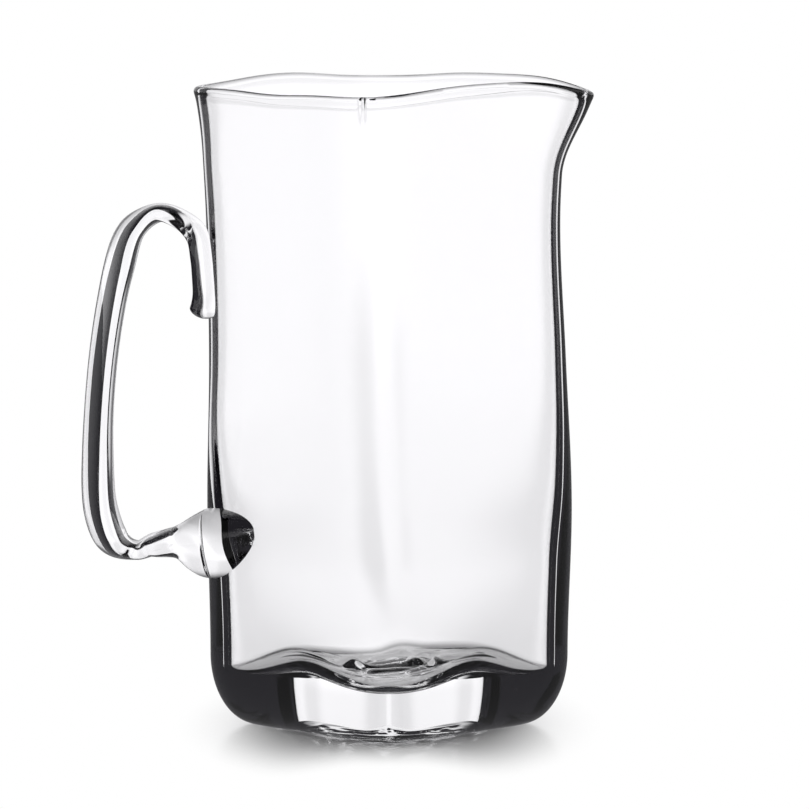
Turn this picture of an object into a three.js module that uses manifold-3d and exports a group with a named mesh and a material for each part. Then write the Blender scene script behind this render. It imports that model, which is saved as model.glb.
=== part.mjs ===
// A hand-blown clear glass pitcher: a soft-square vessel with a heavy foot, and a drawn handle.
// Millimetres, +Z up, foot centre at the origin. The handle is toward -X and the spout toward +X,
// so two opposite corners of the square carry them.
import * as THREE from "three";
import { mergeVertices } from "three/addons/utils/BufferGeometryUtils.js";
import Module from "manifold-3d";

const wasm = await Module();
wasm.setup();

// Vessel: outside, with the handle at -X, the spout at +X and a cross corner at front and back
const RIM_HEIGHT = 235;
const FOOT_HALF_DIAGONAL = 49;
const HEEL_HALF_DIAGONAL = 65.8;
const HEEL_HEIGHT = 26;
const BELLY_HEIGHT = 82;
const BELLY_HANDLE_SIDE = 66.8;
const BELLY_SPOUT_SIDE = 67.2;
const BELLY_CROSS = 66.8;
const MIDDLE_HEIGHT = 135;
const MIDDLE_HANDLE_SIDE = 66;
const MIDDLE_SPOUT_SIDE = 64.9;
const MIDDLE_CROSS = 65.8;
const WAIST_HEIGHT = 185;
const WAIST_HANDLE_SIDE = 66.9;
const WAIST_SPOUT_SIDE = 62.7;
const WAIST_CROSS = 64.5;
const LIP_HANDLE_SIDE = 69;
const LIP_SPOUT_SIDE = 64.8;
const LIP_CROSS = 66;
const LIP_FLARE = 2.4;
const LIP_FLARE_HEIGHT = 25;
const SQUARENESS = 8;

// Vessel: spout and hand-made unevenness of the rim
const SPOUT_PULL = 7.8;
const SPOUT_HEIGHT = 32;
const SPOUT_HALF_ANGLE = 0.36;
const SPOUT_NOTCH = 4.6;
const SPOUT_NOTCH_HALF_ANGLE = 0.21;
const RIM_RISE = 2.9;
const RIM_DIP_HALF_ANGLE = 0.45;
const FRONT_LEFT_SAG = 3.4;
const RIM_WAVE_DEPTH = 50;
const FRONT_LEAN_LOW = -5.4;
const FRONT_LEAN_HIGH = -9.6;
const FRONT_LEAN_RIM = -11.4;
const BACK_LEAN = -6;
const LEAN_SOFTNESS = 12;

// Vessel: glass thickness
const RIM_THICKNESS = 3.1;
const RIM_BEAD = 0.55;
const RIM_BEAD_HEIGHT = 3.5;
const LIP_THICKENING = 1.2;
const SHOULDER_THICKNESS = 3.5;
const MIDDLE_THICKNESS = 4.5;
const BELLY_THICKNESS = 6.3;
const LOWER_THICKNESS = 8.8;
const BASE_THICKNESS = 19.6;
const FLOOR_RISE = 3.2;
const FLOOR_EDGE_SIDE = 3;
const FLOOR_EDGE_FRONT = 7;
const FLOOR_EDGE_FLAT = 10.5;
const FLOOR_EDGE_BACK = 2.5;
const EVEN_WALL_LOW = 80;
const EVEN_WALL_HIGH = 150;

// Handle: path, by its distance outside the vessel's corner, its height and its shift to the front
const ROOT_HEIGHT = 67;
const ARCH_HEIGHT = 188.4;
const TAIL_HEIGHT = 151;
const HANDLE_REACH = 39.7;
const ROOT_DEPTH = 18;
const ROOT_FORWARD = 7.2;
const BEND_DROP = 3.2;
const TAIL_FORWARD = 8.2;

// Handle: section
const ROOT_SEAT_TALL = 21;
const ROOT_TALL = 25.5;
const ROOT_WIDE = 37.5;
const ROOT_TILT = 0.3;
const NECK_THICKNESS = 6.6;
const NECK_WIDTH = 14;
const STRAP_THICKNESS = 9.7;
const STRAP_WIDTH = 24.7;
const STRAP_FLATNESS = 3.5;
const STRAP_TURN = -0.13;
const STRAP_WEDGE = 0.43;
const ARCH_THICKNESS = 6.8;
const ARCH_WIDTH = 16;
const TAIL_THICKNESS = 4.9;
const TAIL_WIDTH = 11.2;
const TAIL_END_THICKNESS = 7;
const TAIL_FLATNESS = 3.2;
const TAIL_TURN = 0.68;
const TAIL_WEDGE = -0.25;
const TAIL_ROUNDING = 0.013;
const JOINT_GAP = 0.35;

// Handle: where its parts begin and end, by the share of its length
const FLAT_START = 0.06;
const FLAT_END = 0.15;
const ROOT_END = 0.14;
const STRAP_START = 0.25;
const STRAP_END = 0.74;
const TAIL_START = 0.86;

// Smoothness of the surfaces
const AROUND = 64;
const CORNER_CROWDING = 0.5;
const HEEL_RINGS = 8;
const WALL_RINGS = 12;
const NECK_RINGS = 8;
const RIM_RINGS = 5;
const FLOOR_EDGE_RINGS = 6;
const FLOOR_RINGS = 3;
const STRAP_AROUND = 28;
const STRAP_RINGS = 90;
const PATH_STEPS = 1000;
const TAIL_ROUNDING_RINGS = 4;

const GLASS_COLOUR = 0xdfe8ea;

function ease(share) {
  const s = THREE.MathUtils.clamp(share, 0, 1);
  return s * s * (3 - 2 * s);
}

// Smooth curve of a size through [place, size] stations, level at both ends
function through(stations, place) {
  const last = stations.length - 1;
  const slope = (i) =>
    i === 0 || i === last
      ? 0
      : (stations[i + 1][1] - stations[i - 1][1]) / (stations[i + 1][0] - stations[i - 1][0]);
  if (place <= stations[0][0]) return stations[0][1];
  if (place >= stations[last][0]) return stations[last][1];
  const i = stations.findIndex(([at]) => at > place) - 1;
  const span = stations[i + 1][0] - stations[i][0];
  const s = (place - stations[i][0]) / span;
  const start = stations[i][1] * (1 + 2 * s) * (1 - s) ** 2 + slope(i) * span * s * (1 - s) ** 2;
  const end = stations[i + 1][1] * (3 - 2 * s) * s ** 2 + slope(i + 1) * span * (s - 1) * s ** 2;
  return start + end;
}

// Half of the extra thickness of the fire-polished rim
function bead(z) {
  return RIM_BEAD * Math.exp(-(((RIM_HEIGHT - z) / RIM_BEAD_HEIGHT) ** 2));
}

// Half-diagonal of the outside at one corner, from its sizes at four heights
function cornerReach(z, belly, middle, waist, lip) {
  const stations = [
    [HEEL_HEIGHT, HEEL_HALF_DIAGONAL],
    [BELLY_HEIGHT, belly],
    [MIDDLE_HEIGHT, middle],
    [WAIST_HEIGHT, waist],
    [RIM_HEIGHT, lip],
  ];
  const flare = Math.max(0, 1 - (RIM_HEIGHT - z) / LIP_FLARE_HEIGHT);
  return through(stations, z) + LIP_FLARE * flare ** 2 + bead(z);
}

function handleCorner(z) {
  return cornerReach(z, BELLY_HANDLE_SIDE, MIDDLE_HANDLE_SIDE, WAIST_HANDLE_SIDE, LIP_HANDLE_SIDE);
}

function spoutCorner(z) {
  return cornerReach(z, BELLY_SPOUT_SIDE, MIDDLE_SPOUT_SIDE, WAIST_SPOUT_SIDE, LIP_SPOUT_SIDE);
}

function crossCorner(z) {
  return cornerReach(z, BELLY_CROSS, MIDDLE_CROSS, WAIST_CROSS, LIP_CROSS);
}

// Half-diagonal of the outside in any direction: 0 is the spout, half a turn is the handle
function reach(angle, z) {
  const along = Math.cos(angle) ** 2;
  const corner = Math.cos(angle) > 0 ? spoutCorner(z) : handleCorner(z);
  const plain = along * corner + (1 - along) * crossCorner(z);
  const pull = SPOUT_PULL * nearness(angle, 0, SPOUT_HALF_ANGLE);
  return plain + pull * ease(1 - (RIM_HEIGHT - z) / SPOUT_HEIGHT);
}

// How near a direction is to another one: 1 on it, fading over the half-angle
function nearness(angle, middle, halfAngle) {
  const off = Math.atan2(Math.sin(angle - middle), Math.cos(angle - middle));
  return Math.exp(-((off / halfAngle) ** 2));
}

// The rim is high along the sides and low at the corners, with a notch at the spout
function rimWave(angle) {
  const corners = [0.5, 1, 1.5].map((turn) => nearness(angle, turn * Math.PI, RIM_DIP_HALF_ANGLE));
  const dip = corners.reduce((sum, share) => sum + share, 0);
  const notch = SPOUT_NOTCH * nearness(angle, 0, SPOUT_NOTCH_HALF_ANGLE);
  const frontLeft = Math.cos(angle) < 0 && Math.sin(angle) < 0;
  const sag = frontLeft ? FRONT_LEFT_SAG * Math.sin(2 * angle) ** 2 : 0;
  return RIM_RISE * (1 - dip) - notch - sag;
}

// Thickness of the wall, which the lip adds to at the handle and the spout
function thickness(angle, z) {
  const stations = [
    [BELLY_HEIGHT * 0.73, LOWER_THICKNESS],
    [BELLY_HEIGHT * 1.1, BELLY_THICKNESS],
    [(BELLY_HEIGHT + WAIST_HEIGHT) * 0.45, MIDDLE_THICKNESS],
    [WAIST_HEIGHT, SHOULDER_THICKNESS],
    [RIM_HEIGHT, RIM_THICKNESS],
  ];
  const ends = nearness(angle, 0, SPOUT_HALF_ANGLE) + nearness(angle, Math.PI, SPOUT_HALF_ANGLE);
  const thick = LIP_THICKENING * ends * ease(1 - (RIM_HEIGHT - z) / SPOUT_HEIGHT);
  return through(stations, z) + thick + 2 * bead(z);
}

// Rounded square with its corners on the X and Y axes, as a share of its half-diagonal
function squareShare(angle) {
  const turned = angle - Math.PI / 4;
  const sum = Math.abs(Math.cos(turned)) ** SQUARENESS + Math.abs(Math.sin(turned)) ** SQUARENESS;
  return 2 ** (1 / SQUARENESS - 0.5) / sum ** (1 / SQUARENESS);
}

// Sideways lean of the front corner at a height
function frontLean(z) {
  const stations = [
    [HEEL_HEIGHT, 0],
    [BELLY_HEIGHT * 0.75, FRONT_LEAN_LOW],
    [WAIST_HEIGHT * 0.85, FRONT_LEAN_HIGH],
    [RIM_HEIGHT, FRONT_LEAN_RIM],
  ];
  return through(stations, z);
}

// A point of the vessel, with the lean of its front and back corners and the wave of the rim
function place(angle, halfDiagonal, z, grown = 0) {
  const radius = halfDiagonal * squareShare(angle) + grown;
  const y = radius * Math.sin(angle);
  const lean = y < 0 ? frontLean(z) : (BACK_LEAN * z) / RIM_HEIGHT;
  const softened = Math.hypot(y, LEAN_SOFTNESS) - LEAN_SOFTNESS;
  const x = radius * Math.cos(angle) + (lean * softened) / BELLY_CROSS;
  const lift = rimWave(angle) * ease(1 - (RIM_HEIGHT - z) / RIM_WAVE_DEPTH);
  return new THREE.Vector3(x, y, z + lift);
}

// Angles round the vessel, closer together at the corners
function angleOf(i) {
  const even = (2 * Math.PI * i) / AROUND;
  return even - (CORNER_CROWDING * Math.sin(4 * even)) / 4;
}

function ring(pointAt) {
  return Array.from({ length: AROUND }, (_, i) => pointAt(angleOf(i)));
}

// Height of one of the wall's rings: wide steps below the spout, close ones beside it
function wallHeight(i, low, top) {
  const neck = RIM_HEIGHT - SPOUT_HEIGHT;
  if (i <= WALL_RINGS) return THREE.MathUtils.lerp(low, neck, i / WALL_RINGS);
  return THREE.MathUtils.lerp(neck, top, (i - WALL_RINGS) / NECK_RINGS);
}

// Half of the rim's thickness, which its rounded top keeps
function rimRadius(angle) {
  return thickness(angle, RIM_HEIGHT) / 2;
}

// The outside from the foot to the top of the wall, grown outward where a clearance is wanted
function outsideRings(grown = 0) {
  const rings = [];
  for (let i = 0; i <= HEEL_RINGS; i++) {
    const turn = ((i / HEEL_RINGS) * Math.PI) / 2;
    const z = HEEL_HEIGHT * (1 - Math.cos(turn));
    const halfDiagonal = THREE.MathUtils.lerp(FOOT_HALF_DIAGONAL, HEEL_HALF_DIAGONAL, Math.sin(turn));
    rings.push(ring((angle) => place(angle, halfDiagonal, z, grown)));
  }
  const onWall = (angle, i) => {
    const z = wallHeight(i, HEEL_HEIGHT, RIM_HEIGHT - rimRadius(angle));
    return place(angle, reach(angle, z), z, grown);
  };
  for (let i = 1; i <= WALL_RINGS + NECK_RINGS; i++) rings.push(ring((angle) => onWall(angle, i)));
  return rings;
}

// Inside of the wall: the same thickness all round at the top, and thicker corners low down
function wallInside(angle, z, depth) {
  const even = ease((z - EVEN_WALL_LOW) / (EVEN_WALL_HIGH - EVEN_WALL_LOW));
  return place(angle, reach(angle, z) - (1 - even) * depth, z, -even * depth);
}

// Radius of the hollow between wall and floor: wide on the two front flats, tight elsewhere
function floorEdge(angle) {
  const turned = Math.sin(angle) ** 2;
  if (Math.sin(angle) > 0) return THREE.MathUtils.lerp(FLOOR_EDGE_SIDE, FLOOR_EDGE_BACK, turned);
  const corner = THREE.MathUtils.lerp(FLOOR_EDGE_SIDE, FLOOR_EDGE_FRONT, turned);
  return THREE.MathUtils.lerp(corner, FLOOR_EDGE_FLAT, Math.sin(2 * angle) ** 2);
}

// Rise of the cavity's floor from its middle to its edge
function floorRise(angle) {
  return FLOOR_RISE * Math.sin(2 * angle) ** 2;
}

// The inside from the rim down to the floor of the cavity
function insideRings() {
  const rings = [];
  const onRim = (angle, turn) => {
    const radius = rimRadius(angle);
    return wallInside(angle, RIM_HEIGHT - radius * (1 - Math.sin(turn)), radius * (1 - Math.cos(turn)));
  };
  for (let i = 1; i <= RIM_RINGS; i++) {
    rings.push(ring((angle) => onRim(angle, (Math.PI * i) / (RIM_RINGS + 1))));
  }
  const edge = (angle) => BASE_THICKNESS + floorRise(angle) + floorEdge(angle);
  const onWall = (angle, i) => {
    const z = wallHeight(i, edge(angle), RIM_HEIGHT - rimRadius(angle));
    return wallInside(angle, z, thickness(angle, z));
  };
  for (let i = WALL_RINGS + NECK_RINGS; i >= 0; i--) rings.push(ring((angle) => onWall(angle, i)));
  const inner = (angle) => reach(angle, edge(angle)) - thickness(angle, edge(angle));
  const onHollow = (angle, turn) => {
    const size = floorEdge(angle);
    return place(angle, inner(angle) - size * (1 - Math.cos(turn)), edge(angle) - size * Math.sin(turn));
  };
  for (let i = 1; i <= FLOOR_EDGE_RINGS; i++) {
    rings.push(ring((angle) => onHollow(angle, ((i / FLOOR_EDGE_RINGS) * Math.PI) / 2)));
  }
  const onFloor = (angle, share) =>
    place(angle, (inner(angle) - floorEdge(angle)) * share, BASE_THICKNESS + floorRise(angle) * share ** 2);
  for (let i = FLOOR_RINGS - 1; i > 0; i--) rings.push(ring((angle) => onFloor(angle, i / FLOOR_RINGS)));
  return rings;
}

// Skin over a row of closed rings, with a fan to a centre point at each end
function skin(rings, firstCentre, lastCentre) {
  const size = rings[0].length;
  const points = [firstCentre, ...rings.flat(), lastCentre];
  const index = [];
  const at = (row, i) => 1 + row * size + (i % size);
  for (let i = 0; i < size; i++) {
    index.push(0, at(0, i + 1), at(0, i));
    index.push(at(rings.length - 1, i), at(rings.length - 1, i + 1), points.length - 1);
  }
  for (let row = 0; row + 1 < rings.length; row++) {
    for (let i = 0; i < size; i++) {
      index.push(at(row, i), at(row, i + 1), at(row + 1, i + 1));
      index.push(at(row, i), at(row + 1, i + 1), at(row + 1, i));
    }
  }
  const geometry = new THREE.BufferGeometry().setFromPoints(points);
  geometry.setIndex(index);
  return geometry;
}

function centreOf(points) {
  const sum = points.reduce((total, point) => total.add(point), new THREE.Vector3());
  return sum.divideScalar(points.length);
}

function vesselGeometry() {
  const rings = [...outsideRings(), ...insideRings()];
  return skin(rings, new THREE.Vector3(), new THREE.Vector3(0, 0, BASE_THICKNESS));
}

// The filled outside of the vessel with a clearance round it, which the handle is cut by
function keepOutGeometry() {
  const rings = outsideRings(JOINT_GAP);
  return skin(rings, new THREE.Vector3(0, 0, -JOINT_GAP), centreOf(rings.at(-1)));
}

// Path of the handle's middle: out of the root, round the low bend, up, over the arch and down to
// the tail, which lies on the front of the corner
function handlePath() {
  const rise = ARCH_HEIGHT - ROOT_HEIGHT;
  const point = (outside, z, forward = 0) => new THREE.Vector3(-(handleCorner(z) + outside), -forward, z);
  const tail = (share) => THREE.MathUtils.lerp(TAIL_HEIGHT, ARCH_HEIGHT, share);
  const path = new THREE.CatmullRomCurve3(
    [
      point(-ROOT_DEPTH, ROOT_HEIGHT + BEND_DROP * 0.8, ROOT_FORWARD),
      point(0, ROOT_HEIGHT + BEND_DROP * 0.15, ROOT_FORWARD),
      point(HANDLE_REACH * 0.26, ROOT_HEIGHT + BEND_DROP * 0.35, ROOT_FORWARD * 0.7),
      point(HANDLE_REACH * 0.5, ROOT_HEIGHT - BEND_DROP * 0.2, ROOT_FORWARD * 0.2),
      point(HANDLE_REACH * 0.66, ROOT_HEIGHT - BEND_DROP),
      point(HANDLE_REACH * 0.85, ROOT_HEIGHT - BEND_DROP * 0.12),
      point(HANDLE_REACH * 0.965, ROOT_HEIGHT + rise * 0.085),
      point(HANDLE_REACH, ROOT_HEIGHT + rise * 0.28),
      point(HANDLE_REACH * 0.955, ROOT_HEIGHT + rise * 0.57),
      point(HANDLE_REACH * 0.81, ROOT_HEIGHT + rise * 0.82),
      point(HANDLE_REACH * 0.665, ROOT_HEIGHT + rise * 0.95),
      point(HANDLE_REACH * 0.44, ARCH_HEIGHT),
      point(HANDLE_REACH * 0.18, tail(0.92), TAIL_FORWARD * 0.35),
      point(TAIL_THICKNESS * 0.53, tail(0.78), TAIL_FORWARD * 0.7),
      point(TAIL_THICKNESS * 0.28, tail(0.58), TAIL_FORWARD * 0.93),
      point(TAIL_THICKNESS * 0.18, tail(0.39), TAIL_FORWARD),
      point(TAIL_THICKNESS * 0.12, tail(0.2), TAIL_FORWARD),
      point(TAIL_THICKNESS * 0.22, TAIL_HEIGHT + TAIL_THICKNESS * 0.7, TAIL_FORWARD),
      point(TAIL_THICKNESS * 0.45, TAIL_HEIGHT - TAIL_THICKNESS * 0.1, TAIL_FORWARD),
    ],
    false,
    "centripetal",
  );
  path.arcLengthDivisions = PATH_STEPS;
  return path;
}

// Thickness and width of the handle by the share of its length: a tall root, a slim neck, the strap,
// the arch and the tail with its thick end
function strapSize(share) {
  const thick = [
    [0, ROOT_SEAT_TALL],
    [0.065, ROOT_TALL],
    [0.083, ROOT_TALL * 0.95],
    [0.098, ROOT_TALL * 0.8],
    [0.115, ROOT_TALL * 0.52],
    [0.14, ROOT_TALL * 0.37],
    [0.173, NECK_THICKNESS * 1.08],
    [0.2, NECK_THICKNESS],
    [0.245, STRAP_THICKNESS * 1.08],
    [0.32, STRAP_THICKNESS * 1.06],
    [0.45, STRAP_THICKNESS * 0.93],
    [0.62, STRAP_THICKNESS * 0.93],
    [0.7, STRAP_THICKNESS * 0.97],
    [0.78, ARCH_THICKNESS],
    [0.87, TAIL_THICKNESS],
    [0.95, TAIL_THICKNESS],
    [1, TAIL_END_THICKNESS],
  ];
  const wide = [
    [0, ROOT_WIDE],
    [0.075, ROOT_WIDE],
    [0.14, ROOT_WIDE * 0.69],
    [0.2, NECK_WIDTH],
    [0.245, STRAP_WIDTH],
    [0.66, STRAP_WIDTH],
    [0.78, ARCH_WIDTH],
    [0.87, TAIL_WIDTH],
    [1, TAIL_WIDTH],
  ];
  return { thick: through(thick, share), wide: through(wide, share) };
}

// Turns an ellipse's sine or cosine into that of a flatter, rounder-cornered oval
function rounded(value, flatness) {
  return Math.sign(value) * Math.abs(value) ** (2 / flatness);
}

// One section of the handle: an oval at the root, then a flat strap that is thicker on one edge
function strapRing(path, share) {
  const centre = path.getPointAt(share);
  const along = path.getTangentAt(share);
  const drawn = ease((share - ROOT_END) / (STRAP_START - ROOT_END));
  const tail = ease((share - STRAP_END) / (TAIL_START - STRAP_END));
  const turn = THREE.MathUtils.lerp(STRAP_TURN * drawn, TAIL_TURN, tail);
  const flat = ease((share - FLAT_START) / (FLAT_END - FLAT_START));
  const across = new THREE.Vector3(Math.sin(turn), Math.cos(turn), -ROOT_TILT * (1 - flat));
  across.addScaledVector(along, -across.dot(along)).normalize();
  const out = new THREE.Vector3().crossVectors(along, across);
  const oval = THREE.MathUtils.lerp(2, STRAP_FLATNESS, flat);
  const flatness = THREE.MathUtils.lerp(oval, TAIL_FLATNESS, tail);
  const wedge = THREE.MathUtils.lerp(STRAP_WEDGE * drawn, TAIL_WEDGE, tail);
  const end = Math.sqrt(1 - Math.max(0, 1 - (1 - share) / TAIL_ROUNDING) ** 2);
  const { thick, wide } = strapSize(share);
  return Array.from({ length: STRAP_AROUND }, (_, i) => {
    const angle = (2 * Math.PI * i) / STRAP_AROUND;
    const side = rounded(Math.cos(angle), flatness);
    const height = rounded(Math.sin(angle), flatness) * (1 + wedge * side);
    return centre
      .clone()
      .addScaledVector(across, (side * wide * end) / 2)
      .addScaledVector(out, (height * thick * end) / 2);
  });
}

function handleGeometry() {
  const path = handlePath();
  const strap = (_, i) => ((1 - TAIL_ROUNDING) * i) / STRAP_RINGS;
  const cap = (_, i) => {
    const turn = ((i + 1) / (TAIL_ROUNDING_RINGS + 1)) * (Math.PI / 2);
    return 1 - TAIL_ROUNDING * (1 - Math.sin(turn));
  };
  const shares = [
    ...Array.from({ length: STRAP_RINGS + 1 }, strap),
    ...Array.from({ length: TAIL_ROUNDING_RINGS }, cap),
  ];
  const rings = shares.map((share) => strapRing(path, share));
  return skin(rings, path.getPointAt(0), path.getPointAt(1));
}

function solidOf(geometry) {
  const bare = geometry.clone();
  bare.deleteAttribute("normal");
  bare.deleteAttribute("uv");
  const merged = mergeVertices(bare, 1e-4);
  const mesh = new wasm.Mesh({
    numProp: 3,
    vertProperties: merged.attributes.position.array,
    triVerts: new Uint32Array(merged.index.array),
  });
  return new wasm.Manifold(mesh);
}

function geometryOf(solid) {
  const mesh = solid.getMesh();
  const geometry = new THREE.BufferGeometry();
  geometry.setAttribute("position", new THREE.BufferAttribute(mesh.vertProperties, 3));
  geometry.setIndex(new THREE.BufferAttribute(mesh.triVerts, 1));
  return geometry;
}

function piece(name, geometry) {
  const material = new THREE.MeshStandardMaterial({
    color: GLASS_COLOUR,
    roughness: 0.05,
    transparent: true,
    opacity: 0.4,
  });
  geometry.computeVertexNormals();
  const mesh = new THREE.Mesh(geometry, material);
  mesh.name = name;
  return mesh;
}

const pitcher = new THREE.Group();
pitcher.name = "pitcher";
pitcher.add(piece("vessel_body", vesselGeometry()));
const handle = solidOf(handleGeometry()).subtract(solidOf(keepOutGeometry()));
pitcher.add(piece("handle", geometryOf(handle)));

export default pitcher;
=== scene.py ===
"""Looks of a hand-blown clear glass pitcher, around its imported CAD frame. Metres, +Z up."""

import math

import bpy
import numpy as np
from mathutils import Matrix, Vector, noise


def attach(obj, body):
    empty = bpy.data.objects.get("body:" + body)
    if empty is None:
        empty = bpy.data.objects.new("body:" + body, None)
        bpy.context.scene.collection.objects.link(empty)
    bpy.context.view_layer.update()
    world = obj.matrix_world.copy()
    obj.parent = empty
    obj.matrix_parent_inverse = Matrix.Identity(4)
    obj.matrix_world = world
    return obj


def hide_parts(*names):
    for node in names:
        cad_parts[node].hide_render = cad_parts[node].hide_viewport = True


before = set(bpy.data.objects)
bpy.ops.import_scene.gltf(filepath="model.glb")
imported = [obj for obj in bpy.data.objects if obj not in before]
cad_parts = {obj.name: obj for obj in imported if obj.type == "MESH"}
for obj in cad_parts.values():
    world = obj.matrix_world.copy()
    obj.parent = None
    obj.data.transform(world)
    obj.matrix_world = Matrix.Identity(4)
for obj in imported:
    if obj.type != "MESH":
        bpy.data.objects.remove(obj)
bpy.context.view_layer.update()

MM = 0.001

# Vessel: outside, with the handle at -X, the spout at +X and a cross corner at front and back
RIM_HEIGHT = 235 * MM
FOOT_HALF_DIAGONAL = 49 * MM
HEEL_HALF_DIAGONAL = 65.8 * MM
HEEL_HEIGHT = 26 * MM
BELLY_HEIGHT = 82 * MM
BELLY_HANDLE_SIDE = 66.8 * MM
BELLY_SPOUT_SIDE = 67.2 * MM
BELLY_CROSS = 66.8 * MM
MIDDLE_HEIGHT = 135 * MM
MIDDLE_HANDLE_SIDE = 66 * MM
MIDDLE_SPOUT_SIDE = 64.9 * MM
MIDDLE_CROSS = 65.8 * MM
WAIST_HEIGHT = 185 * MM
WAIST_HANDLE_SIDE = 66.9 * MM
WAIST_SPOUT_SIDE = 62.7 * MM
WAIST_CROSS = 64.5 * MM
LIP_HANDLE_SIDE = 69 * MM
LIP_SPOUT_SIDE = 64.8 * MM
LIP_CROSS = 66 * MM
LIP_FLARE = 2.4 * MM
LIP_FLARE_HEIGHT = 25 * MM
SQUARENESS = 8

# Vessel: spout and hand-made unevenness of the rim
SPOUT_PULL = 7.8 * MM
SPOUT_HEIGHT = 32 * MM
SPOUT_HALF_ANGLE = 0.36
SPOUT_NOTCH = 4.6 * MM
SPOUT_NOTCH_HALF_ANGLE = 0.21
RIM_RISE = 2.9 * MM
RIM_DIP_HALF_ANGLE = 0.45
FRONT_LEFT_SAG = 3.4 * MM
RIM_WAVE_DEPTH = 50 * MM
FRONT_LEAN_LOW = -5.4 * MM
FRONT_LEAN_HIGH = -9.6 * MM
FRONT_LEAN_RIM = -11.4 * MM
BACK_LEAN = -6 * MM
LEAN_SOFTNESS = 12 * MM

# Vessel: glass thickness
RIM_THICKNESS = 3.1 * MM
RIM_BEAD = 0.55 * MM
RIM_BEAD_HEIGHT = 3.5 * MM
LIP_THICKENING = 1.2 * MM
SHOULDER_THICKNESS = 3.5 * MM
MIDDLE_THICKNESS = 4.5 * MM
BELLY_THICKNESS = 6.3 * MM
LOWER_THICKNESS = 8.8 * MM
BASE_THICKNESS = 19.6 * MM
FLOOR_RISE = 3.2 * MM
FLOOR_EDGE_SIDE = 3 * MM
FLOOR_EDGE_FRONT = 7 * MM
FLOOR_EDGE_FLAT = 10.5 * MM
FLOOR_EDGE_BACK = 2.5 * MM
EVEN_WALL_LOW = 80 * MM
EVEN_WALL_HIGH = 150 * MM
HANDLE_SIDE_THIN = 2.4 * MM
HANDLE_SIDE_HEIGHT = 97 * MM
HANDLE_SIDE_SPREAD = 28 * MM
HANDLE_SIDE_ANGLE = 0.5
FRONT_THIN = 1.4 * MM
FRONT_THIN_ANGLE = 0.11
FRONT_THIN_PLACE = -math.pi / 2 + 0.06
FRONT_THIN_LOW = 42 * MM
FRONT_THIN_HIGH = 195 * MM
FRONT_THIN_START = 30 * MM
FRONT_THIN_END = 60 * MM
SLUMP = 0.9 * MM
SLUMP_HEIGHT = 92 * MM
SLUMP_SPREAD = 17 * MM
SLUMP_ANGLE = 0.085

# Vessel: folds in the cavity's floor and a crease under the rim, left by the hot glass
SWIRL = 6 * MM
SWIRL_SIZE = 13 * MM
SWIRL_WARP = 0.7
SWIRL_WARP_SIZE = 1.4
SWIRL_WARP_SHIFT = 5.2
SWIRL_ROUNDING = 0.08
SWIRL_SEED = 1.7
SWIRL_FADE_FRONT = 1.0
SWIRL_FADE_BACK = 3.5
SWIRL_FADE_POWER = 1.5
SWIRL_BACK_SHIFT = 0.5
CREASE = 0.9 * MM
CREASE_HEIGHT = 11 * MM
CREASE_HALF_ANGLE = 0.009
CREASE_STEEPNESS = 1.6

# Handle: path and section
ROOT_HEIGHT = 67 * MM
ARCH_HEIGHT = 188.4 * MM
TAIL_HEIGHT = 151 * MM
HANDLE_REACH = 39.7 * MM
ROOT_DEPTH = 18 * MM
ROOT_FORWARD = 7.2 * MM
BEND_DROP = 3.2 * MM
ROOT_TILT = 0.3
STRAP_TURN = -0.13
STRAP_WEDGE = 0.43
TAIL_TURN = 0.68
TAIL_WEDGE = -0.25
TAIL_FORWARD = 8.2 * MM
ROOT_SEAT_TALL = 21 * MM
ROOT_TALL = 25.5 * MM
ROOT_WIDE = 37.5 * MM
NECK_THICKNESS = 6.6 * MM
NECK_WIDTH = 14 * MM
STRAP_THICKNESS = 9.7 * MM
STRAP_WIDTH = 24.7 * MM
STRAP_FLATNESS = 3.5
ARCH_THICKNESS = 6.8 * MM
ARCH_WIDTH = 16 * MM
TAIL_THICKNESS = 4.9 * MM
TAIL_WIDTH = 11.2 * MM
TAIL_END_THICKNESS = 7 * MM
TAIL_FLATNESS = 3.2
TAIL_ROUNDING = 0.013
TAIL_ROUNDING_RINGS = 14
SEAT_DEPTH = 0.3 * MM

# Handle: where its parts begin and end, by the share of its length
FLAT_START = 0.06
FLAT_END = 0.15
ROOT_END = 0.14
STRAP_START = 0.25
STRAP_END = 0.74
TAIL_START = 0.86

# Handle: fold line across the front of its root, placed by the share of the handle's length
FOLD_DEPTH = 1.0 * MM
FOLD_PLACE = 0.078
FOLD_SLANT = -0.003
FOLD_WIDTH = 0.0013
FOLD_WIDTHS_KEPT = 2.5
FOLD_FRONT = 0.3
FOLD_LOW = 0.8
FOLD_RINGS = 60

# Fineness of the surfaces
AROUND = 320
CORNER_CROWDING = 0.78
FOOT_RINGS = 10
HEEL_RINGS = 28
WALL_RINGS = 60
NECK_RINGS = 36
RIM_RINGS = 11
FLOOR_EDGE_RINGS = 22
FLOOR_RINGS = 40
STRAP_AROUND = 72
STRAP_RINGS = 320
CURVE_SAMPLES = 4000
SHARP_ANGLE = math.radians(40)

# Glass: refraction, and faint waves of its surface
GLASS_IOR = 1.5
VESSEL_GRAIN = 40
HANDLE_GRAIN = 60
WAVE_STRENGTH = 0.02
WAVE_DEPTH = 1 * MM

# Camera of the photograph, whose frame is square
FRAME_PIXELS = 809
FOCAL_PIXELS = 6929
CAMERA_PLACE = Vector((5.69 * MM, -2528.6 * MM, 388.3 * MM))
CAMERA_PITCH = math.radians(6.102)
CAMERA_FAR = 100

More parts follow.
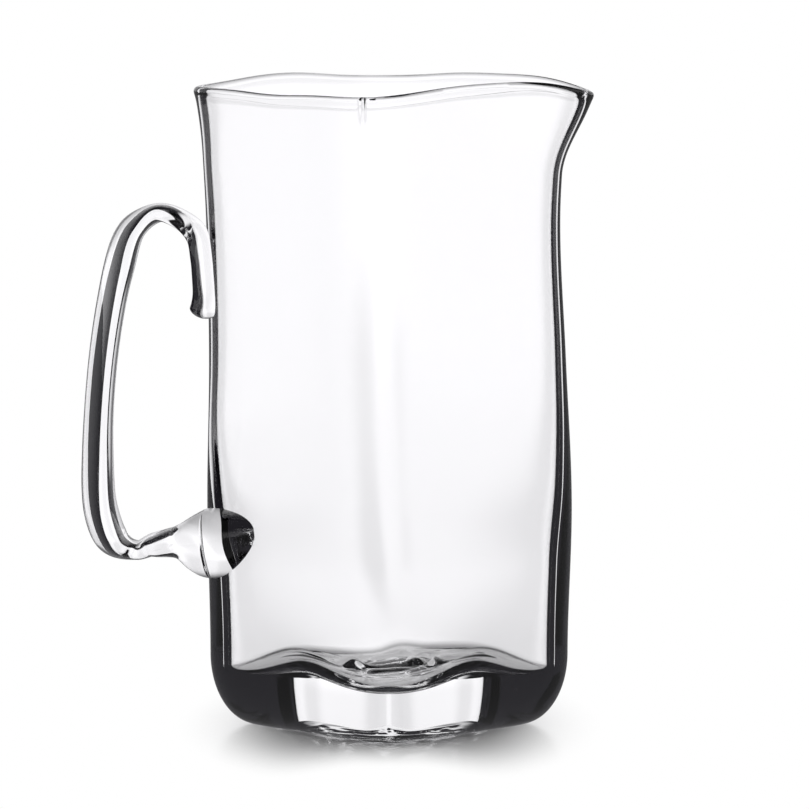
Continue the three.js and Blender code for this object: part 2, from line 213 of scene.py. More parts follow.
# Stage: bright field that is seen through the glass, with a greyer gap at each side of the middle
GAP_DEPTH = 0.15
GAP_START = math.radians(3.5)
GAP_FULL = math.radians(11)
GAP_EASE = math.radians(16)
GAP_END = math.radians(28)
AHEAD_INNER = math.radians(5)
AHEAD_OUTER = math.radians(26)
AHEAD_LIGHT = 0.8
SKY_START = math.radians(18)
SKY_END = math.radians(42)
SKY_SHADE = 0.1
HORIZON_END = math.radians(6)
HORIZON_LIGHT = 0.86
GLASS_GAIN = 1.2
WHITE = (1, 1, 1, 1)
PALE = (0.996, 0.99, 1.012, 1)
DARK = (0.009, 0.0085, 0.011, 1)

# Stage: shades of the floor for rays that the glass bends, by distance and slant, or reflects
FAR_FLOOR = 1.5
NEAR_FLOOR = 0.3
NEAR_FLOOR_LIGHT = 0.95
NEAR_SHADE = 0.8
NEAR_SHADE_REACH = 0.1
STEEP_SHADE = 0.62
STEEP = 0.42
SLANTED = 0.78
BEHIND = 50 * MM
BEHIND_START = 70 * MM
BEHIND_END = 90 * MM
OUTER_SHINE = 0.2

# Stage: floor and the pitcher's reflection in it
FLOOR_DROP = 0.3 * MM
FLOOR_SIZE = 60.0
REFLECTION_WIDTH = 80 * MM
REFLECTION_LENGTH = 155 * MM
REFLECTION_MIDDLE = 105 * MM
REFLECTION_MIDDLE_START = 0.1
REFLECTION_MIDDLE_END = 0.6
REFLECTION_START = 0.4
FLOOR_COLOUR = (0.85, 0.85, 0.85, 1)
FLOOR_ROUGHNESS = 0.22
FLOOR_SHINE = 0.45
FLOOR_IOR = 1.6

# How often light is followed through and off the glass
GLOSSY_BOUNCES = 8
TRANSMISSION_BOUNCES = 16
MAX_BOUNCES = 20


def ease(share):
    s = np.clip(share, 0, 1)
    return s * s * (3 - 2 * s)


def mix(low, high, share):
    return low + (high - low) * share


def through(stations, where):
    """Smooth curve of a size through (place, size) stations, level at both ends."""
    at = np.array([s[0] for s in stations])
    size = np.array([s[1] for s in stations])
    slope = np.zeros(len(at))
    slope[1:-1] = (size[2:] - size[:-2]) / (at[2:] - at[:-2])
    p = np.clip(where, at[0], at[-1])
    i = np.clip(np.searchsorted(at, p, side="right") - 1, 0, len(at) - 2)
    span = at[i + 1] - at[i]
    s = (p - at[i]) / span
    start = size[i] * (1 + 2 * s) * (1 - s) ** 2 + slope[i] * span * s * (1 - s) ** 2
    end = size[i + 1] * (3 - 2 * s) * s**2 + slope[i + 1] * span * (s - 1) * s**2
    return start + end


def bead(z):
    """Half of the extra thickness of the fire-polished rim."""
    return RIM_BEAD * np.exp(-(((RIM_HEIGHT - z) / RIM_BEAD_HEIGHT) ** 2))


def corner_reach(z, belly, middle, waist, lip):
    """Half-diagonal of the outside at one corner, from its sizes at four heights."""
    stations = [
        (HEEL_HEIGHT, HEEL_HALF_DIAGONAL),
        (BELLY_HEIGHT, belly),
        (MIDDLE_HEIGHT, middle),
        (WAIST_HEIGHT, waist),
        (RIM_HEIGHT, lip),
    ]
    flare = np.maximum(0, 1 - (RIM_HEIGHT - z) / LIP_FLARE_HEIGHT)
    return through(stations, z) + LIP_FLARE * flare**2 + bead(z)


def handle_corner(z):
    return corner_reach(z, BELLY_HANDLE_SIDE, MIDDLE_HANDLE_SIDE, WAIST_HANDLE_SIDE, LIP_HANDLE_SIDE)


def spout_corner(z):
    return corner_reach(z, BELLY_SPOUT_SIDE, MIDDLE_SPOUT_SIDE, WAIST_SPOUT_SIDE, LIP_SPOUT_SIDE)


def cross_corner(z):
    return corner_reach(z, BELLY_CROSS, MIDDLE_CROSS, WAIST_CROSS, LIP_CROSS)


def nearness(angle, middle, half_angle):
    """How near a direction is to another one: 1 on it, fading over the half-angle."""
    off = np.arctan2(np.sin(angle - middle), np.cos(angle - middle))
    return np.exp(-((off / half_angle) ** 2))


def reach(angle, z):
    """Half-diagonal of the outside in any direction: 0 is the spout, half a turn the handle."""
    along = np.cos(angle) ** 2
    corner = np.where(np.cos(angle) > 0, spout_corner(z), handle_corner(z))
    plain = along * corner + (1 - along) * cross_corner(z)
    pull = SPOUT_PULL * nearness(angle, 0, SPOUT_HALF_ANGLE)
    crease = CREASE * nearness(angle, -math.pi / 2, CREASE_HALF_ANGLE)
    crease = crease * ease(CREASE_STEEPNESS * (1 - (RIM_HEIGHT - z) / CREASE_HEIGHT))
    return plain + pull * ease(1 - (RIM_HEIGHT - z) / SPOUT_HEIGHT) - crease


def rim_wave(angle):
    """The rim is high along the sides and low at the corners, with a notch at the spout."""
    dip = sum(nearness(angle, turn * math.pi, RIM_DIP_HALF_ANGLE) for turn in (0.5, 1, 1.5))
    notch = SPOUT_NOTCH * nearness(angle, 0, SPOUT_NOTCH_HALF_ANGLE)
    front_left = (np.cos(angle) < 0) & (np.sin(angle) < 0)
    sag = np.where(front_left, FRONT_LEFT_SAG * np.sin(2 * angle) ** 2, 0)
    return RIM_RISE * (1 - dip) - notch - sag


def thickness(angle, z):
    """Thickness of the wall.

    It is thick low down, thin beside the handle and in a strip at the front, and has a slumped
    ridge in the handle's corner.
    """
    stations = [
        (BELLY_HEIGHT * 0.73, LOWER_THICKNESS),
        (BELLY_HEIGHT * 1.1, BELLY_THICKNESS),
        ((BELLY_HEIGHT + WAIST_HEIGHT) * 0.45, MIDDLE_THICKNESS),
        (WAIST_HEIGHT, SHOULDER_THICKNESS),
        (RIM_HEIGHT, RIM_THICKNESS),
    ]
    ends = nearness(angle, 0, SPOUT_HALF_ANGLE) + nearness(angle, math.pi, SPOUT_HALF_ANGLE)
    thick = LIP_THICKENING * ends * ease(1 - (RIM_HEIGHT - z) / SPOUT_HEIGHT)
    aside = np.exp(-(((z - HANDLE_SIDE_HEIGHT) / HANDLE_SIDE_SPREAD) ** 2))
    thin = HANDLE_SIDE_THIN * nearness(angle, math.pi, HANDLE_SIDE_ANGLE) * aside
    up = ease((z - FRONT_THIN_LOW) / FRONT_THIN_START) * ease((FRONT_THIN_HIGH - z) / FRONT_THIN_END)
    thin = thin + FRONT_THIN * nearness(angle, FRONT_THIN_PLACE, FRONT_THIN_ANGLE) * up
    low = np.exp(-(((z - SLUMP_HEIGHT) / SLUMP_SPREAD) ** 2))
    slump = SLUMP * nearness(angle, math.pi, SLUMP_ANGLE) * low
    return through(stations, z) + thick - thin + slump + 2 * bead(z)


def square_share(angle):
    """Rounded square with its corners on the X and Y axes, as a share of its half-diagonal."""
    turned = angle - math.pi / 4
    total = np.abs(np.cos(turned)) ** SQUARENESS + np.abs(np.sin(turned)) ** SQUARENESS
    return 2 ** (1 / SQUARENESS - 0.5) / total ** (1 / SQUARENESS)


def front_lean(z):
    return through(
        [
            (HEEL_HEIGHT, 0),
            (BELLY_HEIGHT * 0.75, FRONT_LEAN_LOW),
            (WAIST_HEIGHT * 0.85, FRONT_LEAN_HIGH),
            (RIM_HEIGHT, FRONT_LEAN_RIM),
        ],
        z,
    )


def place(angle, half_diagonal, z, grown=0.0):
    """Points of the vessel, with the lean of its front and back corners and the rim's wave."""
    radius = half_diagonal * square_share(angle) + grown
    y = radius * np.sin(angle)
    lean = np.where(y < 0, front_lean(z), BACK_LEAN * z / RIM_HEIGHT)
    softened = np.hypot(y, LEAN_SOFTNESS) - LEAN_SOFTNESS
    x = radius * np.cos(angle) + lean * softened / BELLY_CROSS
    lift = rim_wave(angle) * ease(1 - (RIM_HEIGHT - z) / RIM_WAVE_DEPTH)
    return np.stack([x, y, z + lift + 0 * angle], -1)


def angles():
    even = 2 * math.pi * np.arange(AROUND) / AROUND
    return even - CORNER_CROWDING * np.sin(4 * even) / 4


def wall_heights(low, top):
    neck = RIM_HEIGHT - SPOUT_HEIGHT
    wall = [mix(low, neck, k / WALL_RINGS) for k in range(1, WALL_RINGS + 1)]
    lip = [mix(neck, top, k / NECK_RINGS) for k in range(1, NECK_RINGS + 1)]
    return wall + lip


def rim_radius(angle):
    """Half of the rim's thickness, which its rounded top keeps."""
    return thickness(angle, RIM_HEIGHT) / 2


def outside_rings(grown=0.0):
    """The outside from the middle of the foot to the top of the wall."""
    angle = angles()
    rings = []
    for share in np.arange(1, FOOT_RINGS) / FOOT_RINGS:
        rings.append(place(angle, FOOT_HALF_DIAGONAL * share, 0.0, grown * share))
    for turn in np.linspace(0, math.pi / 2, HEEL_RINGS + 1):
        z = HEEL_HEIGHT * (1 - math.cos(turn))
        half_diagonal = mix(FOOT_HALF_DIAGONAL, HEEL_HALF_DIAGONAL, math.sin(turn))
        rings.append(place(angle, half_diagonal, z, grown))
    for z in wall_heights(HEEL_HEIGHT, RIM_HEIGHT - rim_radius(angle)):
        rings.append(place(angle, reach(angle, z), z, grown))
    return rings


def wall_inside(angle, z, depth):
    """Inside of the wall, equally thick all round at the top and with thicker corners low down."""
    even = ease((z - EVEN_WALL_LOW) / (EVEN_WALL_HIGH - EVEN_WALL_LOW))
    return place(angle, reach(angle, z) - (1 - even) * depth, z, -even * depth)


def floor_edge(angle):
    """Radius of the hollow between wall and floor: wide on the flats, tight in the side corners."""
    turned = np.sin(angle) ** 2
    front = mix(mix(FLOOR_EDGE_SIDE, FLOOR_EDGE_FRONT, turned), FLOOR_EDGE_FLAT, np.sin(2 * angle) ** 2)
    return np.where(np.sin(angle) > 0, mix(FLOOR_EDGE_SIDE, FLOOR_EDGE_BACK, turned), front)


def inside_rings():
    """The inside from the rim down to the cavity's floor, and the floor's middle point."""
    angle = angles()
    rings = []
    radius = rim_radius(angle)
    for turn in np.linspace(0, math.pi, RIM_RINGS + 2)[1:-1]:
        z = RIM_HEIGHT - radius * (1 - math.sin(turn))
        rings.append(wall_inside(angle, z, radius * (1 - math.cos(turn))))
    size = floor_edge(angle)
    rise = FLOOR_RISE * np.sin(2 * angle) ** 2
    edge = BASE_THICKNESS + rise + size
    for z in [*wall_heights(edge, RIM_HEIGHT - radius)[::-1], edge]:
        rings.append(wall_inside(angle, z, thickness(angle, z)))
    inner = reach(angle, edge) - thickness(angle, edge)
    for share in np.arange(1, FLOOR_EDGE_RINGS + 1) / FLOOR_EDGE_RINGS:
        turn = share * math.pi / 2
        rings.append(place(angle, inner - size * (1 - math.cos(turn)), edge - size * math.sin(turn)))
    for share in np.arange(FLOOR_RINGS - 1, 0, -1) / FLOOR_RINGS:
        ring = place(angle, (inner - size) * share, BASE_THICKNESS + rise * share**2)
        fade = mix(SWIRL_FADE_FRONT, SWIRL_FADE_BACK, ease(SWIRL_BACK_SHIFT + np.sin(angle)))
        rings.append(swirled(ring, (1 - share**fade) ** SWIRL_FADE_POWER))
    return rings, swirled(np.array([[0, 0, BASE_THICKNESS]]), 1.0)[0]


def swirled(ring, share):
    """A ring of the cavity's floor, lifted by its share of the folds."""
    folds = []
    for x, y, _ in ring:
        spot = Vector((x / SWIRL_SIZE, y / SWIRL_SIZE, SWIRL_SEED))
        wide = spot / SWIRL_WARP_SIZE
        warp = [noise.noise(wide + Vector((0, 0, turn * SWIRL_WARP_SHIFT))) for turn in (1, 2, 3)]
        bent = spot + SWIRL_WARP * Vector(warp)
        folds.append(math.hypot(noise.noise(bent), SWIRL_ROUNDING) - SWIRL_ROUNDING)
    lifted = ring.copy()
    lifted[:, 2] += SWIRL * share * np.array(folds)
    return lifted


def skin_mesh(name, rings, first, last):
    """Closed mesh over a row of rings, with a fan to a centre point at each end."""
    size = len(rings[0])
    points = np.concatenate([[first], *rings, [last]])
    i = np.arange(size)
    j = (i + 1) % size
    end = 1 + (len(rings) - 1) * size
    faces = [(0, 1 + b, 1 + a) for a, b in zip(i, j)]
    for row in range(len(rings) - 1):
        low = 1 + row * size
        high = low + size
        faces += [(low + a, low + b, high + b, high + a) for a, b in zip(i, j)]
    faces += [(end + a, end + b, len(points) - 1) for a, b in zip(i, j)]
    mesh = bpy.data.meshes.new(name)
    mesh.from_pydata(points.tolist(), [], faces)
    mesh.update()
    return mesh


def new_object(name, mesh, *materials):
    piece = bpy.data.objects.new(name, mesh)
    bpy.context.scene.collection.objects.link(piece)
    for material in materials:
        mesh.materials.append(material)
    return piece


def centripetal_curve(points):
    """Smooth curve through points, with the share of its length reached at each of its samples."""
    p = np.array([2 * points[0] - points[1], *points, 2 * points[-1] - points[-2]])
    path = []
    steps = CURVE_SAMPLES // (len(points) - 1)
    for a, b, c, d in zip(p, p[1:], p[2:], p[3:]):
        ab, bc, cd = (math.sqrt(np.linalg.norm(q - r)) for q, r in ((b, a), (c, b), (d, c)))
        start = ((b - a) / ab - (c - a) / (ab + bc) + (c - b) / bc) * bc
        end = ((c - b) / bc - (d - b) / (bc + cd) + (d - c) / cd) * bc
        s = np.arange(steps)[:, None] / steps
        path.append(
            b * (1 + 2 * s) * (1 - s) ** 2
            + start * s * (1 - s) ** 2
            + c * (3 - 2 * s) * s**2
            + end * (s - 1) * s**2
        )
    path = np.concatenate([*path, [points[-1]]])
    length = np.concatenate([[0], np.cumsum(np.linalg.norm(np.diff(path, axis=0), axis=1))])
    return path, length / length[-1]


def handle_path():
    """The handle's middle: out of the root, round the low bend, up, over the arch to the tail."""
    rise = ARCH_HEIGHT - ROOT_HEIGHT

    def point(outside, z, forward=0.0):
        return np.array([-(handle_corner(z) + outside), -forward, z])

    def tail(share):
        return mix(TAIL_HEIGHT, ARCH_HEIGHT, share)

    return [
        point(-ROOT_DEPTH, ROOT_HEIGHT + BEND_DROP * 0.8, ROOT_FORWARD),
        point(0, ROOT_HEIGHT + BEND_DROP * 0.15, ROOT_FORWARD),
        point(HANDLE_REACH * 0.26, ROOT_HEIGHT + BEND_DROP * 0.35, ROOT_FORWARD * 0.7),
        point(HANDLE_REACH * 0.5, ROOT_HEIGHT - BEND_DROP * 0.2, ROOT_FORWARD * 0.2),
        point(HANDLE_REACH * 0.66, ROOT_HEIGHT - BEND_DROP),
        point(HANDLE_REACH * 0.85, ROOT_HEIGHT - BEND_DROP * 0.12),
        point(HANDLE_REACH * 0.965, ROOT_HEIGHT + rise * 0.085),
        point(HANDLE_REACH, ROOT_HEIGHT + rise * 0.28),
        point(HANDLE_REACH * 0.955, ROOT_HEIGHT + rise * 0.57),
        point(HANDLE_REACH * 0.81, ROOT_HEIGHT + rise * 0.82),
        point(HANDLE_REACH * 0.665, ROOT_HEIGHT + rise * 0.95),
        point(HANDLE_REACH * 0.44, ARCH_HEIGHT),
        point(HANDLE_REACH * 0.18, tail(0.92), TAIL_FORWARD * 0.35),
        point(TAIL_THICKNESS * 0.53, tail(0.78), TAIL_FORWARD * 0.7),
        point(TAIL_THICKNESS * 0.28, tail(0.58), TAIL_FORWARD * 0.93),
        point(TAIL_THICKNESS * 0.18, tail(0.39), TAIL_FORWARD),
        point(TAIL_THICKNESS * 0.12, tail(0.2), TAIL_FORWARD),
        point(TAIL_THICKNESS * 0.22, TAIL_HEIGHT + TAIL_THICKNESS * 0.7, TAIL_FORWARD),
        point(TAIL_THICKNESS * 0.45, TAIL_HEIGHT - TAIL_THICKNESS * 0.1, TAIL_FORWARD),
    ]


def strap_thick(share):
    return through(
        [
            (0, ROOT_SEAT_TALL),
            (0.065, ROOT_TALL),
            (0.083, ROOT_TALL * 0.95),
            (0.098, ROOT_TALL * 0.8),
            (0.115, ROOT_TALL * 0.52),
            (0.14, ROOT_TALL * 0.37),
            (0.173, NECK_THICKNESS * 1.08),
            (0.2, NECK_THICKNESS),
            (0.245, STRAP_THICKNESS * 1.08),
            (0.32, STRAP_THICKNESS * 1.06),
            (0.45, STRAP_THICKNESS * 0.93),
            (0.62, STRAP_THICKNESS * 0.93),
            (0.7, STRAP_THICKNESS * 0.97),
            (0.78, ARCH_THICKNESS),
            (0.87, TAIL_THICKNESS),
            (0.95, TAIL_THICKNESS),
            (1, TAIL_END_THICKNESS),
        ],
        share,
    )


def strap_wide(share):
    return through(
        [
            (0, ROOT_WIDE),
            (0.075, ROOT_WIDE),
            (0.14, ROOT_WIDE * 0.69),
            (0.2, NECK_WIDTH),
            (0.245, STRAP_WIDTH),
            (0.66, STRAP_WIDTH),
            (0.78, ARCH_WIDTH),
            (0.87, TAIL_WIDTH),
            (1, TAIL_WIDTH),
        ],
        share,
    )


def rounded(value, flatness):
    """Turns an ellipse's sine or cosine into that of a flatter, rounder-cornered oval."""
    return np.sign(value) * np.abs(value) ** (2 / flatness)


def fold_share(share, angle):
    """Share of the section that the fold line leaves, on the front and the lower part of the root."""
    off = (share - FOLD_PLACE - FOLD_SLANT * np.sin(angle)) / FOLD_WIDTH
    front = ease(FOLD_FRONT - np.cos(angle)) * ease(FOLD_LOW + np.sin(angle))
    return 1 - FOLD_DEPTH / (ROOT_TALL / 2) * front * np.exp(-(off**2))


def strap_shares():
    """Places of the handle's sections, closer together at the fold and at the rounded tail."""
    cap = np.sin(np.linspace(0, math.pi / 2, TAIL_ROUNDING_RINGS + 1)[1:-1])
    even = np.linspace(0, 1 - TAIL_ROUNDING, STRAP_RINGS)
    beside = FOLD_WIDTHS_KEPT * FOLD_WIDTH + abs(FOLD_SLANT)
    fold = np.linspace(FOLD_PLACE - beside, FOLD_PLACE + beside, FOLD_RINGS)
    even = even[(even < fold[0]) | (even > fold[-1])]
    return np.sort(np.concatenate([even, fold, 1 - TAIL_ROUNDING * (1 - cap)]))


def strap_rings():
    """Sections of the handle: an oval at the root, then a flat strap that is thicker on one edge."""
    path, along = centripetal_curve(handle_path())
    share = strap_shares()
    centre = np.stack([np.interp(share, along, path[:, i]) for i in range(3)], -1)
    tangent = np.gradient(centre, share, axis=0)
    tangent /= np.linalg.norm(tangent, axis=1)[:, None]
    angle = 2 * math.pi * np.arange(STRAP_AROUND) / STRAP_AROUND
    rings = []
    for s, c, t in zip(share, centre, tangent):
        drawn = ease((s - ROOT_END) / (STRAP_START - ROOT_END))
        tail = ease((s - STRAP_END) / (TAIL_START - STRAP_END))
        turn = mix(STRAP_TURN * drawn, TAIL_TURN, tail)
        flat = ease((s - FLAT_START) / (FLAT_END - FLAT_START))
        across = np.array([math.sin(turn), math.cos(turn), -ROOT_TILT * (1 - flat)])
        across -= t * (across @ t)
        across /= np.linalg.norm(across)
        out = np.cross(t, across)
        flatness = mix(mix(2, STRAP_FLATNESS, flat), TAIL_FLATNESS, tail)
        side = rounded(np.cos(angle), flatness)
        wedge = 1 + mix(STRAP_WEDGE * drawn, TAIL_WEDGE, tail) * side
        end = math.sqrt(1 - min(1, max(0, 1 - (1 - s) / TAIL_ROUNDING)) ** 2)
        wide = side * strap_wide(s) / 2 * end
        thick = rounded(np.sin(angle), flatness) * wedge * strap_thick(s) / 2 * end
        kept = fold_share(s, angle)
        rings.append(c + (wide * kept)[:, None] * across + (thick * kept)[:, None] * out)
    return rings


def cut(target, cutter, name):
    """Mesh of target with cutter taken out, the cut faces in the cutter's own materials."""
    modifier = target.modifiers.new("cut", "BOOLEAN")
    modifier.operation = "DIFFERENCE"
    modifier.solver = "EXACT"
    modifier.material_mode = "TRANSFER"
    modifier.object = cutter
    shown = target.evaluated_get(bpy.context.evaluated_depsgraph_get())
    mesh = bpy.data.meshes.new_from_object(shown)
    mesh.name = name
    target.modifiers.remove(modifier)
    return mesh


def glass_material(name, grain):
    """Clear glass whose surface has faint waves, closer together with more grain."""
    material = bpy.data.materials.new(name)
    material.use_nodes = True
    nodes = material.node_tree.nodes
    links = material.node_tree.links
    shader = nodes["Principled BSDF"]
    shader.inputs["Base Color"].default_value = WHITE
    shader.inputs["Roughness"].default_value = 0.0
    shader.inputs["IOR"].default_value = GLASS_IOR
    shader.inputs["Transmission Weight"].default_value = 1.0
    coordinates = nodes.new("ShaderNodeTexCoord")
    waves = nodes.new("ShaderNodeTexNoise")
    waves.inputs["Scale"].default_value = grain
    waves.inputs["Detail"].default_value = 0.0
    bump = nodes.new("ShaderNodeBump")
    bump.inputs["Strength"].default_value = WAVE_STRENGTH
    bump.inputs["Distance"].default_value = WAVE_DEPTH
    links.new(coordinates.outputs["Object"], waves.inputs["Vector"])
    links.new(waves.outputs["Fac"], bump.inputs["Height"])
    links.new(bump.outputs["Normal"], shader.inputs["Normal"])
    return material


def bond_material():
    """The fused seam between handle and vessel, which light crosses without bending."""
    material = bpy.data.materials.new("fused_seam")
    material.use_nodes = True
    nodes = material.node_tree.nodes
    nodes.remove(nodes["Principled BSDF"])
    clear = nodes.new("ShaderNodeBsdfTransparent")
    material.node_tree.links.new(clear.outputs["BSDF"], nodes["Material Output"].inputs["Surface"])
    return material


def build_pitcher():
    """The two glass pieces, with the handle seated in a hollow of the vessel's own shape."""
    clear = glass_material("clear_glass", VESSEL_GRAIN)
    drawn = glass_material("handle_glass", HANDLE_GRAIN)
    bond = bond_material()
    foot = (0, 0, 0)
    outside = outside_rings()
    inside, middle = inside_rings()
    vessel = new_object("vessel", skin_mesh("vessel", outside + inside, foot, middle), clear)
    rings = strap_rings()
    strap = new_object("strap", skin_mesh("strap", rings, rings[0].mean(0), rings[-1].mean(0)), drawn)
    filled = new_object("filled", skin_mesh("filled", outside, foot, outside[-1].mean(0)), bond)
    sunk_rings = outside_rings(-SEAT_DEPTH)
    sunk_foot = (0, 0, SEAT_DEPTH)
    sunk = new_object("sunk", skin_mesh("sunk", sunk_rings, sunk_foot, sunk_rings[-1].mean(0)), bond)
    handle_mesh = cut(strap, filled, "handle_glass")
    seat_mesh = cut(strap, sunk, "seat")
    seat_mesh.materials.clear()
    seat = new_object("seat", seat_mesh, bond)
    body_mesh = cut(vessel, seat, "body_glass")
    for spare in (vessel, strap, filled, sunk, seat):
        bpy.data.objects.remove(spare)
    place_piece("pitcher_body", body_mesh, "vessel_body")
    place_piece("pitcher_handle", handle_mesh, "handle")


def place_piece(name, mesh, node):
    """A finished piece that stands for a CAD node and rides on the one body."""
    piece = new_object(name, mesh)
    mesh.shade_smooth()
    mesh.set_sharp_from_angle(angle=SHARP_ANGLE)
    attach(piece, "root")
    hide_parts(node)


def make_camera():
    data = bpy.data.cameras.new("camera")
    data.sensor_fit = "HORIZONTAL"
    data.angle = 2 * math.atan(FRAME_PIXELS / 2 / FOCAL_PIXELS)
    data.clip_end = CAMERA_FAR
    camera = bpy.data.objects.new("camera", data)
    camera.location = CAMERA_PLACE
    camera.rotation_euler = (math.pi / 2 - CAMERA_PITCH, 0, 0)
    bpy.context.scene.collection.objects.link(camera)
    bpy.context.scene.camera = camera


def feed(tree, socket, value):
    """Gives a node's input the output of another node, or a plain value."""
    if isinstance(value, bpy.types.NodeSocket):
        tree.links.new(value, socket)
    else:
        socket.default_value = value


def math_node(tree, operation, *values):
    node = tree.nodes.new("ShaderNodeMath")
    node.operation = operation
    for socket, value in zip(node.inputs, values):
        feed(tree, socket, value)
    return node.outputs[0]


def product(tree, first, *others):
    for other in others:
        first = math_node(tree, "MULTIPLY", first, other)
    return first


def at_least_once(tree, count):
    """1 where a whole number is 1 or more, else 0."""
    return math_node(tree, "GREATER_THAN", count, 0.5)


def smooth_range(tree, value, start, end, low=0.0, high=1.0):
    """A smooth step from low to high while a value goes from start to end."""
    node = tree.nodes.new("ShaderNodeMapRange")
    node.interpolation_type = "SMOOTHSTEP"
    for socket, setting in zip(node.inputs, (value, start, end, low, high)):
        feed(tree, socket, setting)
    return node.outputs["Result"]


def mixed(tree, share, low, high):
    node = tree.nodes.new("ShaderNodeMix")
    for name, value in (("Factor", share), ("A", low), ("B", high)):
        feed(tree, node.inputs[name], value)
    return node.outputs["Result"]


def mixed_shader(tree, share, low, high):
    node = tree.nodes.new("ShaderNodeMixShader")
    for socket, value in zip(node.inputs, (share, low, high)):
        feed(tree, socket, value)
    return node.outputs[0]


def field_toward(tree, azimuth):
    """White all round for rays that glass only bends, with a greyer gap at each side of the middle."""
    beside = math_node(tree, "ABSOLUTE", azimuth)
    start = smooth_range(tree, beside, GAP_START, GAP_FULL)
    end = smooth_range(tree, beside, GAP_EASE, GAP_END, 1.0, 0.0)
    return math_node(tree, "MULTIPLY_ADD", product(tree, start, end), -GAP_DEPTH, 1.0)


def ahead_toward(tree, azimuth):
    """White ahead and dark beside, for rays reflected inside the glass."""
    beside = math_node(tree, "ABSOLUTE", azimuth)
    return smooth_range(tree, beside, AHEAD_INNER, AHEAD_OUTER, AHEAD_LIGHT, 0.0)


def field_colour(tree, brightness):
    """Dark to white colour of the studio for a brightness of 0 to 1."""
    colour = tree.nodes.new("ShaderNodeMix")
    colour.data_type = "RGBA"
    tree.links.new(brightness, colour.inputs["Factor"])
    colour.inputs["A"].default_value = DARK
    colour.inputs["B"].default_value = PALE
    return colour.outputs["Result"]


def sky_brightness(tree, reflected):
    """The studio above the horizon, for rays through glass: white low down and dark overhead."""
    direction = tree.nodes.new("ShaderNodeSeparateXYZ")
    tree.links.new(tree.nodes.new("ShaderNodeTexCoord").outputs["Generated"], direction.inputs[0])
    azimuth = math_node(tree, "ARCTAN2", direction.outputs["X"], direction.outputs["Y"])
    height = direction.outputs["Z"]
    above = smooth_range(tree, height, math.sin(SKY_START), math.sin(SKY_END), 1.0, SKY_SHADE)
    low = smooth_range(tree, height, 0.0, math.sin(HORIZON_END), 1.0, HORIZON_LIGHT)
    bent = product(tree, field_toward(tree, azimuth), above, low)
    return mixed(tree, reflected, bent, ahead_toward(tree, azimuth))


def make_world():
    """Plain white for the camera and the floor, and the bright field for rays through the glass."""
    world = bpy.data.worlds.new("studio")
    world.use_nodes = True
    bpy.context.scene.world = world
    tree = world.node_tree
    tree.nodes.clear()
    path = tree.nodes.new("ShaderNodeLightPath").outputs
    in_glass = at_least_once(tree, path["Transmission Depth"])
    reflected = product(tree, at_least_once(tree, path["Glossy Depth"]), in_glass)
    seen = tree.nodes.new("ShaderNodeBackground")
    tree.links.new(field_colour(tree, sky_brightness(tree, reflected)), seen.inputs["Color"])
    tree.links.new(mixed(tree, in_glass, 1.0, GLASS_GAIN), seen.inputs["Strength"])
    light = tree.nodes.new("ShaderNodeBackground")
    light.inputs["Color"].default_value = WHITE
    plain = math_node(tree, "MAXIMUM", path["Is Camera Ray"], path["Is Diffuse Ray"])
    out = tree.nodes.new("ShaderNodeOutputWorld")
    shown = mixed_shader(tree, plain, seen.outputs[0], light.outputs[0])
    tree.links.new(shown, out.inputs["Surface"])


def open_stage(tree, spot):
    """The floor as it is seen past the glass: glossy beside the pitcher, then plain white."""
    shader = tree.nodes["Principled BSDF"]
    shader.inputs["Base Color"].default_value = FLOOR_COLOUR
    shader.inputs["Roughness"].default_value = FLOOR_ROUGHNESS
    shader.inputs["Metallic"].default_value = FLOOR_SHINE
    shader.inputs["IOR"].default_value = FLOOR_IOR
    white = tree.nodes.new("ShaderNodeEmission")
    white.inputs["Color"].default_value = WHITE
    beside = math_node(tree, "DIVIDE", spot["X"], REFLECTION_WIDTH)
    length = smooth_range(
        tree,
        math_node(tree, "ABSOLUTE", beside),
        REFLECTION_MIDDLE_START,
        REFLECTION_MIDDLE_END,
        REFLECTION_MIDDLE,
        REFLECTION_LENGTH,
    )
    before = math_node(tree, "DIVIDE", spot["Y"], length)
    squares = math_node(tree, "MULTIPLY_ADD", beside, beside, product(tree, before, before))
    edge = smooth_range(tree, math_node(tree, "SQRT", squares), REFLECTION_START, 1.0)
    return mixed_shader(tree, edge, shader.outputs[0], white.outputs[0])


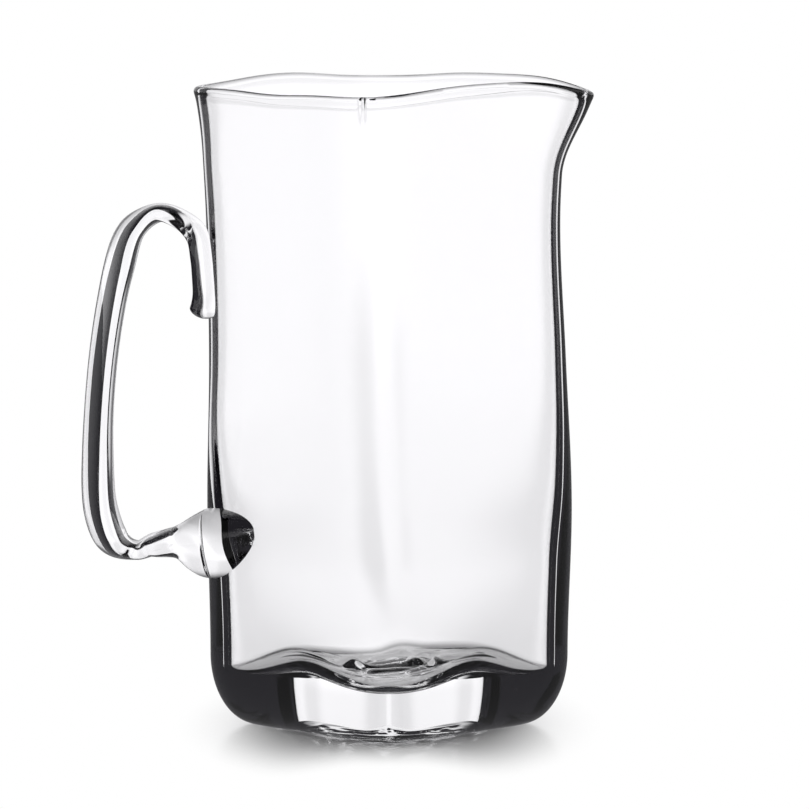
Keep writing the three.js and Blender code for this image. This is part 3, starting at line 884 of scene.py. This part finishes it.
def floor_brightness(tree, position, spot, reflected, in_glass):
    """The floor for rays through glass: greyer close by and from above, dark beside when reflected."""
    distance = tree.nodes.new("ShaderNodeVectorMath")
    distance.operation = "LENGTH"
    tree.links.new(position, distance.inputs[0])
    away = distance.outputs["Value"]
    slant = tree.nodes.new("ShaderNodeLayerWeight").outputs["Facing"]
    steep = smooth_range(tree, slant, STEEP, SLANTED, STEEP_SHADE, 1.0)
    shade = math_node(tree, "EXPONENT", math_node(tree, "MULTIPLY", away, -1 / NEAR_SHADE_REACH))
    near = math_node(tree, "MULTIPLY_ADD", shade, -NEAR_SHADE, 1.0)
    farther = smooth_range(tree, away, NEAR_FLOOR, FAR_FLOOR, NEAR_FLOOR_LIGHT, 1.0)
    azimuth = math_node(tree, "ARCTAN2", spot["X"], spot["Y"])
    bent = product(tree, field_toward(tree, azimuth), steep, near, farther)
    depth = math_node(tree, "SUBTRACT", spot["Y"], BEHIND)
    ahead = ahead_toward(tree, math_node(tree, "ARCTAN2", spot["X"], depth))
    inside = product(tree, ahead, smooth_range(tree, spot["Y"], BEHIND_START, BEHIND_END))
    return mixed(tree, reflected, bent, mixed(tree, in_glass, OUTER_SHINE, inside))


def floor_material():
    material = bpy.data.materials.new("pale_floor")
    material.use_nodes = True
    tree = material.node_tree
    path = tree.nodes.new("ShaderNodeLightPath").outputs
    reflected = at_least_once(tree, path["Glossy Depth"])
    in_glass = at_least_once(tree, path["Transmission Depth"])
    position = tree.nodes.new("ShaderNodeNewGeometry").outputs["Position"]
    separate = tree.nodes.new("ShaderNodeSeparateXYZ")
    tree.links.new(position, separate.inputs[0])
    spot = separate.outputs
    brightness = floor_brightness(tree, position, spot, reflected, in_glass)
    seen = tree.nodes.new("ShaderNodeEmission")
    tree.links.new(field_colour(tree, brightness), seen.inputs["Color"])
    seen.inputs["Strength"].default_value = GLASS_GAIN
    bent_or_reflected = math_node(tree, "MAXIMUM", reflected, in_glass)
    shown = mixed_shader(tree, bent_or_reflected, open_stage(tree, spot), seen.outputs[0])
    tree.links.new(shown, tree.nodes["Material Output"].inputs["Surface"])
    return material


def make_floor():
    half = FLOOR_SIZE / 2
    mesh = bpy.data.meshes.new("floor")
    sides = ((-half, -half), (half, -half), (half, half), (-half, half))
    mesh.from_pydata([(x, y, -FLOOR_DROP) for x, y in sides], [], [(0, 1, 2, 3)])
    floor = new_object("floor", mesh, floor_material())


make_camera()
build_pitcher()
make_world()
make_floor()
bpy.context.scene.view_settings.view_transform = "Standard"
bpy.context.scene.cycles.glossy_bounces = GLOSSY_BOUNCES
bpy.context.scene.cycles.max_bounces = MAX_BOUNCES
bpy.context.scene.cycles.transmission_bounces = TRANSMISSION_BOUNCES
